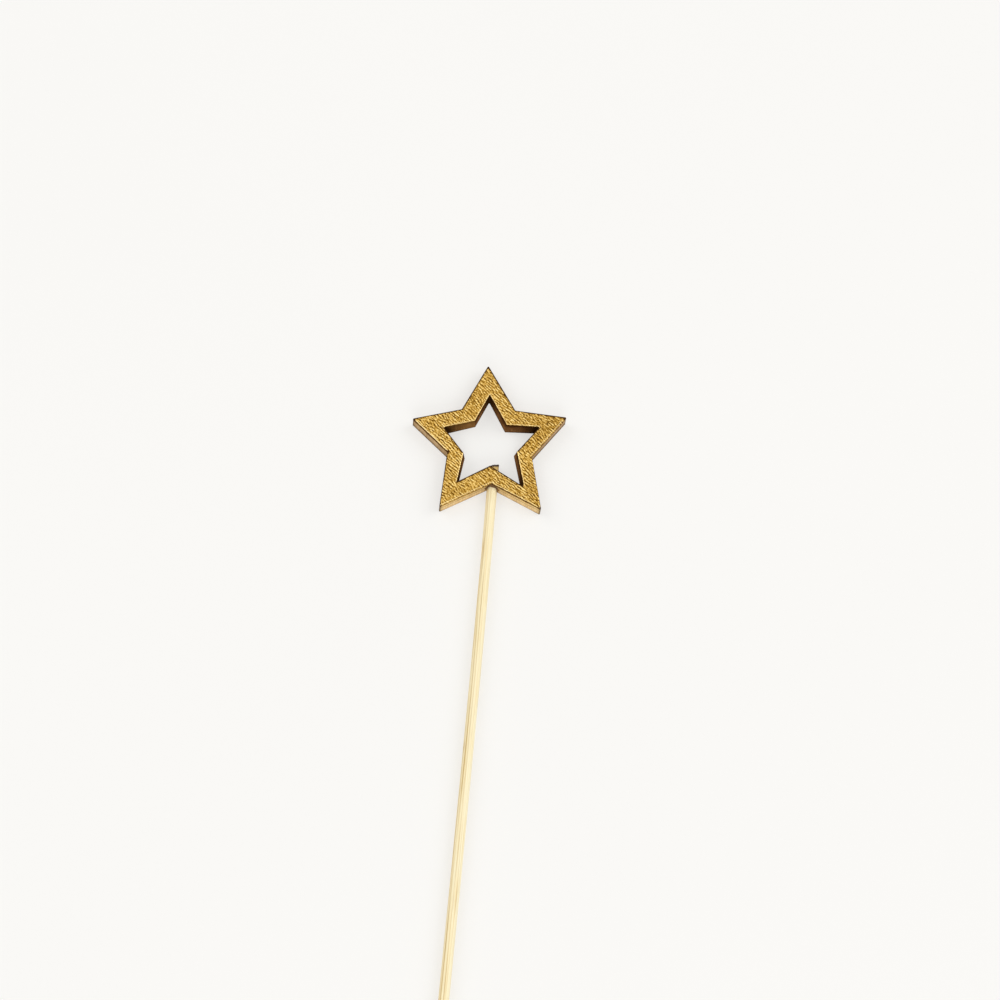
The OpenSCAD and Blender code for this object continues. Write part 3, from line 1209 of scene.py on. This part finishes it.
# Bead: round the stick, a closed profile goes down the hole, out along the notch's two walls, along a
# sagging curve to the stick and back up beside it
def makeGlue(spec, corners):
    turn = np.arange(spec["around"])[:, None] / spec["around"]
    angle = 2 * math.pi * turn
    left, apex, right = corners[4], corners[5], corners[6]
    slopeLeft = (apex[1] - left[1]) / (apex[0] - left[0])
    slopeRight = (right[1] - apex[1]) / (right[0] - apex[0])
    full = beadFullness(spec, turn)
    stickR, filmR, filmTop = spec["stickR"], spec["filmR"], spec["filmTop"]
    lip = filmR + (spec["lipR"] - filmR) * full
    run = spec["runL"] * full
    sunk = np.linspace(1, 0, spec["filmSteps"])[:-1] + 0 * turn
    creep = np.linspace(0, 1, spec["creepSteps"] + 1)[1:-1]
    sag = np.linspace(0, math.pi / 2, spec["curveSteps"])
    rise = np.linspace(0, 1, spec["filmSteps"])[1:] + 0 * turn
    radius = np.concatenate([
        filmR + 0 * sunk,
        filmR + (lip - filmR) * creep,
        stickR + (lip - stickR) * np.cos(sag) ** spec["sagOut"],
        stickR - spec["stickTuck"] + 0 * rise,
    ], 1)
    # drop below the notch's walls: the film starts deep inside, and the bead hangs out of the mouth
    drop = np.concatenate([
        -filmTop * sunk,
        0 * turn - spec["starTuck"] + 0 * creep,
        run * np.sin(sag) ** spec["sagDown"] - spec["lipTuck"],
        run * (1 - rise) - filmTop * rise,
    ], 1)
    x = radius * np.cos(angle)
    notch = apex[1] + np.where(x < apex[0], slopeLeft, slopeRight) * (x - apex[0])
    points = np.stack([x, notch - drop, axisZ + radius * np.sin(angle)], -1)
    mesh = gridMesh("glue", points, wrapRows=True)
    print("glue points:", len(mesh.vertices))
    return addObject("glue_bead", mesh, [glueBody])


glue = makeGlue(glueRun, outerCorners)
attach(glue, "root")
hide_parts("glue")


# Floor and light, in metres and watts. Together the world and the lamps light a flat card on the floor so
# that it renders as its own colour. The floor's glow, which only the camera and reflections see, softens
# its shadows
studio = {
    "floorSize": 3.0,
    "floorPoints": 9,
    "floorDrop": 0.00002,
    "floorColour": (0.955, 0.945, 0.92),
    "floorCloud": 0.985,
    "floorGlow": 0.62,
    "worldStrength": 0.54,
    "worldSeen": 0.95,
    "lamps": {
        "left": {"place": (-0.85, 0.35, 0.85), "size": 0.8, "power": 3.9},
        "right": {"place": (0.85, 0.35, 0.85), "size": 0.8, "power": 4.7},
        "front": {"place": (0.1, -0.95, 0.5), "size": 0.8, "power": 4.0},
    },
}


# Floor: a flat grid just below the part, faintly cloudy in its colour
def makeFloor(spec):
    half = spec["floorSize"] / 2
    side = np.linspace(-half, half, spec["floorPoints"])
    x, y = np.meshgrid(side, side, indexing="ij")
    level = np.full(x.shape, -spec["floorDrop"])
    mesh = gridMesh("floor", np.stack([x, y, level], -1) / mm, wrapColumns=False)
    material, tree, shader, coords = newMaterial("paleFloor")
    cloud = noise(tree, coords, scale=9.0, detail=2.0)
    colour = np.array(spec["floorColour"])
    pale = mixColour(tree, cloud, colour, spec["floorCloud"] * colour)
    glow = scaled(tree, seenRay(tree), spec["floorGlow"])
    feed(tree, shader, {
        "Base Color": mixColour(tree, glow, pale, (0.0, 0.0, 0.0)),
        "Emission Color": pale,
        "Emission Strength": glow,
        "Roughness": 0.8,
        "Specular IOR Level": 0.1,
    })
    addObject("floor", mesh, [material])


# An even world, and square lamps that all face the part
def makeLight(spec):
    world = bpy.data.worlds.new("studio")
    world.use_nodes = True
    tree = world.node_tree
    strength = mapRange(tree, seenRay(tree), 0.0, 1.0, spec["worldStrength"], spec["worldSeen"])
    feed(tree, tree.nodes["Background"], {"Color": (1.0, 1.0, 1.0, 1.0), "Strength": strength})
    scene.world = world
    for name, panel in spec["lamps"].items():
        lamp = bpy.data.lights.new(name, "AREA")
        lamp.shape = "SQUARE"
        lamp.size = panel["size"]
        lamp.energy = panel["power"]
        hung = bpy.data.objects.new(name, lamp)
        hung.location = panel["place"]
        hung.rotation_euler = (-hung.location).to_track_quat("-Z", "Y").to_euler()
        scene.collection.objects.link(hung)


makeFloor(studio)
makeLight(studio)
print("floor and light made")

bpy.context.view_layer.update()
